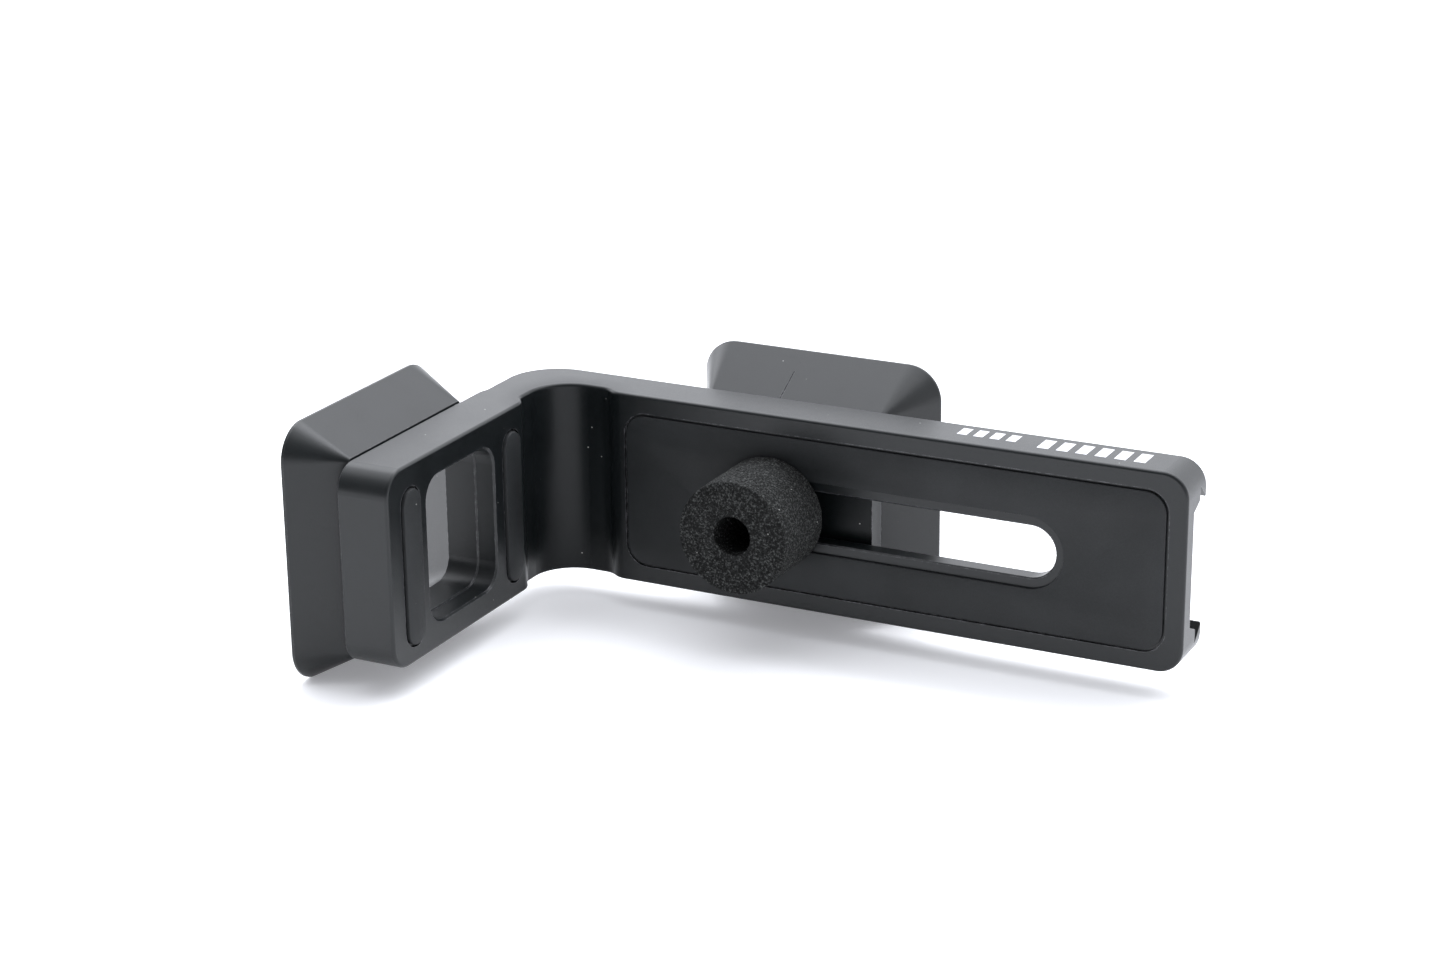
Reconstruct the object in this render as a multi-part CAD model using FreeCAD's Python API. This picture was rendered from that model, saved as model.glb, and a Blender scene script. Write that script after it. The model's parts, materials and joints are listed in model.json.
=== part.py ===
import FreeCAD, Part
import math
import os

# Camera L-bracket with two quick-release shoes.  All sizes are in millimetres.
#
# Design frame: the origin is the virtual inner corner of the L at half its width.
# +X runs along the long arm, +Y points out of the back of the long arm and +Z is
# up, across the width of the arms.  Every part is moved to the base frame when it
# is written: the middle of the whole part's footprint, on the surface it stands on.

# ---- driving dimensions -------------------------------------------------------
ARM_HALF = 19.1            # half the width of both arms
ARM_T = 10.1               # thickness of both arms
LONG_END = 128.4           # free end of the long arm
SHORT_END = -60.45         # free end of the short arm
END_R = 4.9                # corners of the free ends
EDGE_R = 0.6               # rounding of the camera-side edges
BACK_CHAMFER = 0.25        # bevel of the outer edges

SCOOP_DEPTH = 1.8          # the inner corner is cut this far behind both faces
SCOOP_R = 8.0              # radius of the scooped corner
SCOOP_BLEND_LONG = (14.3, 9.3)       # blend on the long arm, start and end in X
SCOOP_BLEND_SHORT = (-13.5, -9.0)    # blend on the short arm, start and end in Y

SEAT_X = -10.65            # raised seat for the side shoe
SEAT_RAMP = (-10.9, -8.2)  # ramp up to that seat, in Y

SHOE_OUTER_HALF = 25.0     # 50 mm square clamping face
SHOE_OUTER_R = 6.8
SHOE_NARROW_R = 0.7
FLANK_RUN = 0.5625         # the flanks lean out this far per millimetre of height
SHOE_LAND_H = 0.7          # straight land next to the clamping face
SHOE_EDGE_R = 0.35         # rounding of the clamping face's rim

SIDE_Y = -36.2             # centre of the side shoe
SIDE_NARROW_X = -11.05     # narrow end of the side shoe's dovetail
SIDE_FLANK_H = 10.3        # height of its sloping flanks
SIDE_SPIGOT_INSET = 0.6    # step that keeps the shoe's flank clear of the seat
SIDE_SCREW_AT = (15.3, 16.4)         # screws and dowels from its centre, in Y and Z
SIDE_SCREW_SEAT_X = -14.0  # under the screw heads
DOWEL_R = 1.5
DOWEL_X = (-14.4, -6.4)    # both ends of the dowels

WINDOW_Y = (-47.4, -23.6)  # window in the short arm
WINDOW_HALF_Z = 14.2
WINDOW_R = 4.5
WINDOW_STEP_X = -4.0       # from here a small bevel leads to a narrower rear part
WINDOW_STEP = 0.25         # how much narrower the rear part is, each side

SLOT_HALF = 5.05           # screw slot in the long arm
SLOT_X = (37.5, 103.65)
PAD_X = (15.7, 124.5)      # rubber pad on the long arm
PAD_HALF = 15.1
PAD_R = 4.0
PAD_GAP = 0.5              # groove round each rubber piece
PAD_RECESS = 0.45
PAD_T = 0.5
PAD_SLOT_HALF = 7.05       # opening in the pad round the slot
PAD_SLOT_X = (35.5, 105.3)
TAPE_T = 0.1               # adhesive film under each rubber piece
STRIP_Y = (-52.8, -17.0)   # centres of the two rubber strips
STRIP_Z = -0.6
STRIP_HALF_W = 2.85
STRIP_HALF_L = 15.0
STRIP_RECESS = 0.6
STRIP_T = 1.0

RAIL_START = 21.0          # blind end of the dovetail rail
WEB_T = 3.6                # web between the slot face and the rear pocket
POCKET_HALF = (11.0, 12.4)           # rear pocket, at the web and at the rail floor
RAIL_FLOOR_Y = 6.7
RAIL_HALF = (15.2, 12.1)   # undercut rail, at its floor and at the rear face
RAIL_GAP = 0.25            # running clearance of the slider

BASE_X = 46.4              # rest position of the base shoe and camera screw
BASE_NARROW_Y = 10.45
BASE_FLANK_H = 12.1
BASE_FLOOR_T = 5.45        # floor of the base shoe under the screw head
BASE_RIM = 4.5             # wall of the base shoe at the clamping face
SLIDER_HALF_L = 18.8
TONGUE_Y = 4.75            # front of the slider's tongue, which runs in the rear pocket
TONGUE_HALF = 10.6
NECK_RELIEF = (4.0, 9.0)   # step at both ends of its neck: length, and start in Y
BOSS_R = 4.9               # guide boss that runs in the slot
BOSS_END_Y = 0.8
SLIDER_SCREW_AT = (11.0, 7.0)
INDEX_X = -3.4             # index line on the upper flank, from the shoe's centre
INDEX_L = 7.4

M25_R = 1.25               # M2.5 and M3 screws
M3_R = 1.5
SCREW_CLEAR_R = 3.4        # clearance hole for the camera screw
THREAD_R = 3.175           # 1/4 inch camera thread
THREAD_TIP_Y = -5.0
HEAD_R = 7.5
HEAD_Y = (17.0, 21.2)
HEAD_AXIS_Y = 19.1         # cross hole for the ring
CROSS_HOLE_R = 1.0
RING_WIRE_R = 0.92
RING_R = 9.3
RING_DROP = 1.3
CLIP_Y = (1.25, 1.75)
FOAM_R = 11.0
FOAM_BORE_R = 3.25         # round the screw
FOAM_MOUTH_R = 3.65        # the wider hole in front of the screw
FOAM_Y = (-16.6, -0.4)
FOAM_MOUTH_Y = -6.0

BASE_OUTER_Y = BASE_NARROW_Y + BASE_FLANK_H + SHOE_LAND_H
SIDE_OUTER_X = SIDE_NARROW_X - SIDE_FLANK_H - SHOE_LAND_H
BASE_FLOOR_Y = BASE_NARROW_Y + BASE_FLOOR_T
SIDE_LOW_Y = SIDE_Y - SHOE_OUTER_HALF
ORIGIN = FreeCAD.Vector(
    -0.5 * (SIDE_OUTER_X + LONG_END),
    -0.5 * (SIDE_LOW_Y + BASE_OUTER_Y),
    SHOE_OUTER_HALF,
)

V = FreeCAD.Vector
X_AXIS = V(1, 0, 0)
Y_AXIS = V(0, 1, 0)
Z_AXIS = V(0, 0, 1)


# ---- shape helpers ------------------------------------------------------------
def arc(start, middle, end):
    return Part.Arc(start, middle, end).toShape()


def line(start, end):
    return Part.LineSegment(start, end).toShape()


def box(low, high):
    """Box between two corners."""
    size = V(*high) - V(*low)
    return Part.makeBox(size.x, size.y, size.z, V(*low))


def rod(radius, start, end):
    """Round bar from one point to another."""
    along = end - start
    return Part.makeCylinder(radius, along.Length, start, along)


def ring(outer, inner, start, end):
    """Tube from one point to another."""
    return rod(outer, start, end).cut(rod(inner, start, end))


def taper(radius_start, radius_end, start, end):
    """Cone from one point to another."""
    along = end - start
    return Part.makeCone(radius_start, radius_end, along.Length, start, along)


def on_plane(axis, level, u, z):
    """Point on a plane square to X or Y: u runs along the other one."""
    if axis == "x":
        return V(level, u, z)
    return V(u, level, z)


def outline(axis, level, centre, half_u, half_z, radius):
    """Rounded rectangle on a plane square to X or Y, centred at half height."""
    corner_u = half_u - radius
    corner_z = half_z - radius
    diagonal = radius * math.sqrt(0.5)
    edges = []
    last = None
    first = None
    for side_u, side_z, turn in ((1, -1, 0), (1, 1, 1), (-1, 1, 0), (-1, -1, 1)):
        flat = on_plane(axis, level, centre + side_u * corner_u, side_z * half_z)
        upright = on_plane(axis, level, centre + side_u * half_u, side_z * corner_z)
        middle = on_plane(
            axis,
            level,
            centre + side_u * (corner_u + diagonal),
            side_z * (corner_z + diagonal),
        )
        start, end = (upright, flat) if turn else (flat, upright)
        if last is not None and (start - last).Length > 1e-6:
            edges.append(line(last, start))
        edges.append(arc(start, middle, end))
        first = first or start
        last = end
    if (first - last).Length > 1e-6:
        edges.append(line(last, first))
    return Part.Wire(edges)


def plate(axis, start, end, centre, half_u, half_z, radius):
    """Rounded rectangular block between two levels."""
    wire = outline(axis, start, centre, half_u, half_z, radius)
    direction = X_AXIS if axis == "x" else Y_AXIS
    return Part.Face(wire).extrude(direction * (end - start))


def loft(wire_a, wire_b):
    """Straight-sided solid between two matching outlines."""
    return Part.makeLoft([wire_a, wire_b], True, True)


def stadium(axis, start, end, low, high, half_z):
    """Long hole along u with full round ends, between two levels."""
    centre = 0.5 * (low + high)
    return plate(axis, start, end, centre, 0.5 * (high - low), half_z, half_z)


def strip(start, end, centre, half_w, half_l):
    """Upright strip on the short arm with full round ends."""
    shape = plate("x", start, end, centre, half_w, half_l, half_w)
    shape.translate(V(0, 0, STRIP_Z))
    return shape


def s_curve(start, end, along):
    """Two equal arcs that leave and arrive parallel to one direction."""
    offset = end - start
    run = offset.dot(along)
    rise = offset - along * run
    sweep = 2.0 * math.atan2(rise.Length, run)
    radius = run / (2.0 * math.sin(sweep))
    half = 0.5 * sweep
    step = along * (radius * math.sin(half))
    step += rise * (radius * (1.0 - math.cos(half)) / rise.Length)
    middle = start + offset * 0.5
    return [arc(start, start + step, middle), arc(middle, end - step, end)]


def join(first, others):
    shape = first
    for other in others:
        shape = shape.fuse(other)
    return shape.removeSplitter()


def carve(shape, tools):
    for tool in tools:
        shape = shape.cut(tool)
    return shape


# ---- bracket frame ------------------------------------------------------------
def inner_edges():
    """Camera side of the L in plan, from the long arm's end to the short arm's."""
    long_start, long_end = SCOOP_BLEND_LONG
    short_start, short_end = SCOOP_BLEND_SHORT
    centre = V(SCOOP_R - SCOOP_DEPTH, SCOOP_DEPTH - SCOOP_R, 0)
    reach = SCOOP_R * math.sqrt(0.5)
    top = centre + V(0, SCOOP_R, 0)
    left = centre + V(-SCOOP_R, 0, 0)
    edges = [line(V(LONG_END, 0, 0), V(long_start, 0, 0))]
    edges += s_curve(V(long_start, 0, 0), V(long_end, SCOOP_DEPTH, 0), V(-1, 0, 0))
    edges.append(line(V(long_end, SCOOP_DEPTH, 0), top))
    edges.append(arc(top, centre + V(-reach, reach, 0), left))
    edges.append(line(left, V(-SCOOP_DEPTH, short_end, 0)))
    edges += s_curve(V(-SCOOP_DEPTH, short_end, 0), V(0, short_start, 0), V(0, -1, 0))
    edges.append(line(V(0, short_start, 0), V(0, SHORT_END, 0)))
    return edges


def outer_edges():
    """Outside of the L in plan, from the short arm's end to the long arm's."""
    ramp_start, ramp_end = SEAT_RAMP
    reach = ARM_T * math.sqrt(0.5)
    edges = [line(V(SEAT_X, SHORT_END, 0), V(SEAT_X, ramp_start, 0))]
    edges += s_curve(V(SEAT_X, ramp_start, 0), V(-ARM_T, ramp_end, 0), Y_AXIS)
    edges.append(line(V(-ARM_T, ramp_end, 0), V(-ARM_T, 0, 0)))
    edges.append(arc(V(-ARM_T, 0, 0), V(-reach, reach, 0), V(0, ARM_T, 0)))
    edges.append(line(V(0, ARM_T, 0), V(LONG_END, ARM_T, 0)))
    return edges


def rim_edges(shape, side):
    """Edges of the block's rim that follow one side of the L."""
    guide = Part.Wire(side)
    found = []
    for edge in shape.Edges:
        middle = edge.valueAt(0.5 * (edge.FirstParameter + edge.LastParameter))
        flat = Part.Vertex(V(middle.x, middle.y, 0))
        if flat.distToShape(guide)[0] > 1e-3:
            continue
        upright = edge.BoundBox.ZLength > 2.0 * (ARM_HALF - END_R) - 1e-3
        free_end = middle.x > LONG_END - 1e-3 or middle.y < SHORT_END + 1e-3
        if upright and not free_end:
            continue
        found.append(edge)
    return found


def end_corner_edges(shape):
    """The four short edges at the corners of both free ends."""
    found = []
    for edge in shape.Edges:
        bounds = edge.BoundBox
        at_long = bounds.XMin > LONG_END - 1e-3 and bounds.YLength > 1.0
        at_short = bounds.YMax < SHORT_END + 1e-3 and bounds.XLength > 1.0
        if (at_long or at_short) and bounds.ZLength < 1e-3:
            found.append(edge)
    return found


def l_block():
    """Solid L with rounded free ends and softened rims."""
    inner = inner_edges()
    outer = outer_edges()
    closing = [line(V(0, SHORT_END, 0), V(SEAT_X, SHORT_END, 0))]
    last = [line(V(LONG_END, ARM_T, 0), V(LONG_END, 0, 0))]
    wire = Part.Wire(inner + closing + outer + last)
    face = Part.Face(wire)
    face.translate(V(0, 0, -ARM_HALF))
    block = face.extrude(V(0, 0, 2.0 * ARM_HALF))
    block = block.makeFillet(END_R, end_corner_edges(block))
    block = block.makeFillet(EDGE_R, rim_edges(block, inner))
    return block.makeChamfer(BACK_CHAMFER, rim_edges(block, outer))


def rail_cut():
    """Undercut dovetail rail and the pocket below it, open at the free end."""
    rail_half, mouth_half = RAIL_HALF
    deep_half, shallow_half = POCKET_HALF
    mouth_y = ARM_T + 1.0
    mouth = mouth_half - (rail_half - mouth_half) / (ARM_T - RAIL_FLOOR_Y)
    side = [
        (deep_half, WEB_T),
        (shallow_half, RAIL_FLOOR_Y),
        (rail_half, RAIL_FLOOR_Y),
        (mouth, mouth_y),
    ]
    points = [V(RAIL_START, y, z) for z, y in side]
    points += [V(RAIL_START, y, -z) for z, y in reversed(side)]
    wire = Part.makePolygon(points + points[:1])
    cut = Part.Face(wire).extrude(V(LONG_END - RAIL_START + 1.0, 0, 0))
    widening = Part.makePolygon(
        [
            V(RAIL_START, ARM_T, -mouth_half),
            V(RAIL_START, mouth_y, -mouth_half),
            V(RAIL_START, mouth_y, mouth_half),
            V(RAIL_START, ARM_T, mouth_half),
            V(RAIL_START, ARM_T, -mouth_half),
        ]
    )
    return cut.fuse(Part.Face(widening).extrude(V(LONG_END - RAIL_START + 1.0, 0, 0)))


def slot_cut():
    """Screw slot with a small bevel at its camera side."""
    low, high = SLOT_X
    hole = stadium("y", -1.0, WEB_T + 1.0, low, high, SLOT_HALF)
    bevel = 0.25
    centre = 0.5 * (low + high)
    half = 0.5 * (high - low)
    flare = loft(
        outline("y", PAD_RECESS, centre, half + bevel, SLOT_HALF + bevel, SLOT_HALF + bevel),
        outline("y", PAD_RECESS + bevel, centre, half, SLOT_HALF, SLOT_HALF),
    )
    return hole.fuse(flare)


def window_span():
    """Centre and half width of the window along Y."""
    low, high = WINDOW_Y
    return 0.5 * (low + high), 0.5 * (high - low)


def window_outline(level, growth):
    """Outline of the window at one level in X, grown outwards all round."""
    centre, half = window_span()
    return outline("x", level, centre, half + growth, WINDOW_HALF_Z + growth, WINDOW_R + growth)


def window_cuts():
    """Window in the short arm: a wider front part, a bevel and a narrower rear."""
    rear_x = WINDOW_STEP_X - WINDOW_STEP
    mouth = 0.35
    front = Part.Face(window_outline(1.0, 0.0)).extrude(X_AXIS * (WINDOW_STEP_X - 1.0))
    bevel = loft(window_outline(WINDOW_STEP_X, 0.0), window_outline(rear_x, -WINDOW_STEP))
    rear = Part.Face(window_outline(rear_x, -WINDOW_STEP)).extrude(X_AXIS * (SEAT_X - 1.0 - rear_x))
    flare = loft(window_outline(0.0, mouth), window_outline(-mouth, 0.0))
    return [front, bevel, rear, flare]


def pad_recess():
    """Shallow recess for the rubber pad on the long arm."""
    low, high = PAD_X
    half = 0.5 * (high - low) + PAD_GAP
    centre = 0.5 * (low + high)
    return plate("y", -1.0, PAD_RECESS, centre, half, PAD_HALF + PAD_GAP, PAD_R + PAD_GAP)


def strip_recess(centre):
    """Shallow recess for one rubber strip on the short arm."""
    return strip(1.0, -STRIP_RECESS, centre, STRIP_HALF_W + PAD_GAP, STRIP_HALF_L + PAD_GAP)


def side_points(turn):
    """Two opposite corners of the side shoe's fixing pattern, in Y and Z."""
    away_y, away_z = SIDE_SCREW_AT
    return [(SIDE_Y + i * away_y, i * turn * away_z) for i in (-1, 1)]


def side_screw_holes():
    """Blind threaded holes for the side shoe's screws and blind holes for its dowels."""
    depth = 6.4
    holes = []
    for y, z in side_points(1):
        holes.append(rod(M25_R + 0.02, V(SEAT_X - 1.0, y, z), V(SEAT_X + depth, y, z)))
    for y, z in side_points(-1):
        holes.append(rod(DOWEL_R + 0.02, V(SEAT_X - 1.0, y, z), V(DOWEL_X[1] + 0.3, y, z)))
    return holes


def bracket_frame():
    frame = carve(l_block(), [rail_cut(), pad_recess(), slot_cut()])
    frame = carve(frame, window_cuts())
    frame = carve(frame, [strip_recess(centre) for centre in STRIP_Y])
    return carve(frame, side_screw_holes())


# ---- rubber pieces ------------------------------------------------------------
def base_rubber(start, end, inset):
    """Pad outline of the long arm between two levels, with its slot."""
    low, high = PAD_X
    half = 0.5 * (high - low) - inset
    centre = 0.5 * (low + high)
    body = plate("y", start, end, centre, half, PAD_HALF - inset, PAD_R - inset)
    hole = stadium(
        "y",
        start - 1.0,
        end + 1.0,
        PAD_SLOT_X[0] - inset,
        PAD_SLOT_X[1] + inset,
        PAD_SLOT_HALF + inset,
    )
    return body.cut(hole)


def base_pad():
    bottom = PAD_RECESS - TAPE_T
    top = bottom - PAD_T
    pad = base_rubber(top, bottom, 0.0)
    rim = [edge for edge in pad.Edges if edge.BoundBox.YMax < top + 1e-3]
    return pad.makeFillet(0.15, rim)


def base_pad_tape():
    return base_rubber(PAD_RECESS - TAPE_T, PAD_RECESS, 0.6)


def side_pad(centre):
    bottom = TAPE_T - STRIP_RECESS
    top = bottom + STRIP_T
    pad = strip(bottom, top, centre, STRIP_HALF_W, STRIP_HALF_L)
    rim = [edge for edge in pad.Edges if edge.BoundBox.XMin > top - 1e-3]
    return pad.makeFillet(0.25, rim)


def side_pad_tape(centre):
    inset = 0.5
    top = TAPE_T - STRIP_RECESS
    return strip(-STRIP_RECESS, top, centre, STRIP_HALF_W - inset, STRIP_HALF_L - inset)


# ---- shoes --------------------------------------------------------------------
def shoe_block(axis, narrow, height, outward, centre):
    """Square dovetail block: narrow end, sloping flanks and clamping face."""
    shoulder = narrow + outward * height
    face = shoulder + outward * SHOE_LAND_H
    small = SHOE_OUTER_HALF - FLANK_RUN * height
    flanks = loft(
        outline(axis, narrow, centre, small, small, SHOE_NARROW_R),
        outline(axis, shoulder, centre, SHOE_OUTER_HALF, SHOE_OUTER_HALF, SHOE_OUTER_R),
    )
    land = plate(axis, shoulder, face, centre, SHOE_OUTER_HALF, SHOE_OUTER_HALF, SHOE_OUTER_R)
    rim = []
    for edge in land.Edges:
        bounds = edge.BoundBox
        low, high = (bounds.XMin, bounds.XMax) if axis == "x" else (bounds.YMin, bounds.YMax)
        if abs(low - face) < 1e-3 and abs(high - face) < 1e-3:
            rim.append(edge)
    return flanks.fuse(land.makeFillet(SHOE_EDGE_R, rim))


def tapered_hole(axis, start, end, centre, half_u, half_z, radius):
    """Opening whose walls run parallel to the shoe's flanks, widening to its end."""
    spread = FLANK_RUN * abs(end - start)
    return loft(
        outline(axis, start, centre, half_u, half_z, radius),
        outline(axis, end, centre, half_u + spread, half_z + spread, radius + 0.35 * spread),
    )


def side_shoe():
    """Fixed shoe: a spigot on the seat, an open middle that meets the window flush."""
    window_centre, window_half = window_span()
    half_y = window_half - WINDOW_STEP
    half_z = WINDOW_HALF_Z - WINDOW_STEP
    corner = WINDOW_R - WINDOW_STEP
    spigot_half = SHOE_OUTER_HALF - FLANK_RUN * SIDE_FLANK_H - SIDE_SPIGOT_INSET
    block = shoe_block("x", SIDE_NARROW_X, SIDE_FLANK_H, -1, SIDE_Y)
    spigot = plate("x", SEAT_X, SIDE_NARROW_X, SIDE_Y, spigot_half, spigot_half, SHOE_NARROW_R)
    shoe = join(block, [spigot])
    shoe = shoe.cut(
        tapered_hole("x", SEAT_X, SIDE_OUTER_X - 1.0, window_centre, half_y, half_z, corner)
    )
    for y, z in side_points(1):
        seat = V(SIDE_SCREW_SEAT_X, y, z)
        shoe = shoe.cut(rod(M25_R + 0.15, V(0, y, z), seat))
        shoe = shoe.cut(rod(2.0 * M25_R, seat, V(SIDE_OUTER_X - 1.0, y, z)))
    for y, z in side_points(-1):
        shoe = shoe.cut(rod(DOWEL_R + 0.02, V(0, y, z), V(DOWEL_X[0] - 0.3, y, z)))
    return shoe


def side_shoe_screws():
    """Two M2.5 socket head screws on one diagonal of the side shoe."""
    screws = []
    head = 2.4
    for y, z in side_points(1):
        seat = V(SIDE_SCREW_SEAT_X, y, z)
        top = seat - X_AXIS * head
        screw = rod(M25_R, V(SEAT_X + 5.6, y, z), seat)
        screw = screw.fuse(rod(2.25, seat, top))
        screws.append(screw.cut(hex_socket(top, X_AXIS, 2.0, 1.3)))
    return Part.makeCompound(screws)


def side_shoe_dowels():
    """Two plain dowels on the other diagonal."""
    start, end = DOWEL_X
    bevel = 0.25
    dowels = []
    for y, z in side_points(-1):
        pin = rod(DOWEL_R, V(start + bevel, y, z), V(end - bevel, y, z))
        back = taper(DOWEL_R - bevel, DOWEL_R, V(start, y, z), V(start + bevel, y, z))
        tip = taper(DOWEL_R, DOWEL_R - bevel, V(end - bevel, y, z), V(end, y, z))
        dowels.append(join(pin, [back, tip]))
    return Part.makeCompound(dowels)


def hex_socket(top, inward, across_flats, depth):
    """Hexagonal key socket sunk into a screw head."""
    radius = across_flats / math.sqrt(3.0)
    side = Z_AXIS
    other = inward.cross(side)
    points = []
    for step in range(7):
        angle = math.radians(60.0 * step)
        points.append(top + side * (radius * math.cos(angle)) + other * (radius * math.sin(angle)))
    wire = Part.makePolygon(points)
    return Part.Face(wire).extrude(inward * depth)


def slider_screw_points():
    """Positions of the four slider screws, in X and Z."""
    away_x, away_z = SLIDER_SCREW_AT
    return [(BASE_X + i * away_x, j * away_z) for i in (-1, 1) for j in (-1, 1)]


def index_line():
    """Fine engraved line on the upper flank of the base shoe."""
    width = 0.22
    depth = 0.12
    start = BASE_NARROW_Y - 0.2
    end = start + INDEX_L
    low = SHOE_OUTER_HALF - FLANK_RUN * (BASE_NARROW_Y + BASE_FLANK_H - start)
    high = low + FLANK_RUN * INDEX_L
    x = BASE_X + INDEX_X - 0.5 * width
    points = [
        V(x, start, low - depth),
        V(x, end, high - depth),
        V(x, end, high + 1.0),
        V(x, start, low + 1.0),
    ]
    wire = Part.makePolygon(points + points[:1])
    return Part.Face(wire).extrude(V(width, 0, 0))


def base_shoe():
    face_half = SHOE_OUTER_HALF - BASE_RIM
    floor_half = face_half - FLANK_RUN * (BASE_OUTER_Y - BASE_FLOOR_Y)
    shoe = shoe_block("y", BASE_NARROW_Y, BASE_FLANK_H, 1, BASE_X).removeSplitter()
    end = BASE_OUTER_Y + 1.0
    shoe = shoe.cut(tapered_hole("y", BASE_FLOOR_Y, end, BASE_X, floor_half, floor_half, 3.0))
    shoe = shoe.cut(rod(SCREW_CLEAR_R, V(BASE_X, 0, 0), V(BASE_X, BASE_FLOOR_Y + 1.0, 0)))
    for x, z in slider_screw_points():
        floor = V(x, BASE_FLOOR_Y, z)
        shoe = shoe.cut(rod(M3_R + 0.1, V(x, 0, z), floor))
        shoe = shoe.cut(taper(M3_R, M3_R + 1.4, floor - Y_AXIS * 1.4, floor))
    return shoe.cut(index_line())


def slider_screws():
    """Four M3 countersunk screws that hold the slider to the base shoe."""
    screws = []
    sink = 0.05
    for x, z in slider_screw_points():
        top = V(x, BASE_FLOOR_Y - sink, z)
        neck = top - Y_AXIS * 1.3
        screw = rod(M3_R, V(x, RAIL_FLOOR_Y + 1.4, z), neck)
        screw = screw.fuse(taper(M3_R, M3_R + 1.3, neck, top))
        screws.append(screw.cut(hex_socket(top, -Y_AXIS, 2.0, 1.0)))
    return Part.makeCompound(screws)


def rail_slider():
    """Dovetail block that runs in the rail, with a tongue and a round guide boss."""
    rail_half, mouth_half = RAIL_HALF
    slope = (rail_half - mouth_half) / (ARM_T - RAIL_FLOOR_Y)
    face_y = RAIL_FLOOR_Y + RAIL_GAP
    wide = rail_half - slope * RAIL_GAP - RAIL_GAP
    neck = mouth_half - RAIL_GAP
    side = [
        (TONGUE_HALF, TONGUE_Y),
        (TONGUE_HALF, face_y),
        (wide, face_y),
        (neck, ARM_T),
        (neck, BASE_NARROW_Y),
    ]
    start = BASE_X - SLIDER_HALF_L
    points = [V(start, y, z) for z, y in side]
    points += [V(start, y, -z) for z, y in reversed(side)]
    wire = Part.makePolygon(points + points[:1])
    block = Part.Face(wire).extrude(V(2.0 * SLIDER_HALF_L, 0, 0))
    boss = rod(BOSS_R, V(BASE_X, BOSS_END_Y, 0), V(BASE_X, face_y + 1.0, 0))
    slider = join(block, [boss])
    slider = slider.cut(rod(SCREW_CLEAR_R, V(BASE_X, 0, 0), V(BASE_X, BASE_NARROW_Y + 1.0, 0)))
    slider = slider.cut(rod(4.1, V(BASE_X, 0, 0), V(BASE_X, BOSS_END_Y + 1.6, 0)))
    relief_l, relief_y = NECK_RELIEF
    for sign in (-1, 1):
        step = V(BASE_X + sign * (SLIDER_HALF_L - relief_l), relief_y, -20.0)
        far = V(BASE_X + sign * (SLIDER_HALF_L + 1.0), BASE_NARROW_Y + 1.0, 20.0)
        slider = slider.cut(box((min(step.x, far.x), step.y, step.z), (max(step.x, far.x), far.y, far.z)))
    for x, z in slider_screw_points():
        bottom = V(x, RAIL_FLOOR_Y + 1.0, z)
        slider = slider.cut(rod(M3_R + 0.02, bottom, V(x, BASE_NARROW_Y + 1.0, z)))
    return slider


# ---- camera screw, its ring and its foam cap ----------------------------------
def on_axis(y):
    """Point on the camera screw's axis."""
    return V(BASE_X, y, 0)


def camera_screw():
    """Quarter-inch screw with a coin slot, a cross hole and a clip groove."""
    under, top = HEAD_Y
    bevel = 0.5
    shank = rod(THREAD_R, on_axis(THREAD_TIP_Y + bevel), on_axis(under))
    tip = taper(THREAD_R - bevel, THREAD_R, on_axis(THREAD_TIP_Y), on_axis(THREAD_TIP_Y + bevel))
    head = rod(HEAD_R, on_axis(under), on_axis(top - bevel))
    crown = taper(HEAD_R, HEAD_R - bevel, on_axis(top - bevel), on_axis(top))
    screw = join(shank, [tip, head, crown])
    groove = ring(THREAD_R + 1.0, 2.6, on_axis(CLIP_Y[0] - 0.05), on_axis(CLIP_Y[1] + 0.05))
    coin = box((BASE_X - HEAD_R - 1, top - 0.9, -0.8), (BASE_X + HEAD_R + 1, top + 1, 0.8))
    cross = rod(
        CROSS_HOLE_R,
        V(BASE_X - HEAD_R - 1, HEAD_AXIS_Y, 0),
        V(BASE_X + HEAD_R + 1, HEAD_AXIS_Y, 0),
    )
    return carve(screw, [groove, coin, cross])


def screw_washer():
    return ring(6.5, SCREW_CLEAR_R, on_axis(BASE_FLOOR_Y), on_axis(BASE_FLOOR_Y + 0.55))


def spring_washer():
    """Coned spring washer between the flat washer and the screw head."""
    low = BASE_FLOOR_Y + 0.55
    points = [
        V(BASE_X + 3.5, low + 0.2, 0),
        V(BASE_X + 6.2, low, 0),
        V(BASE_X + 6.2, low + 0.25, 0),
        V(BASE_X + 3.5, low + 0.45, 0),
    ]
    wire = Part.makePolygon(points + points[:1])
    return Part.Face(wire).revolve(on_axis(0), Y_AXIS, 360)


def retaining_clip():
    """Open clip in the screw's groove, which keeps the screw in the slider."""
    low, high = CLIP_Y
    clip = ring(3.85, 2.65, on_axis(low), on_axis(high))
    opening = box((BASE_X - 1.9, low - 1.0, -5.0), (BASE_X + 1.9, high + 1.0, 0.0))
    return clip.cut(opening)


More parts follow.
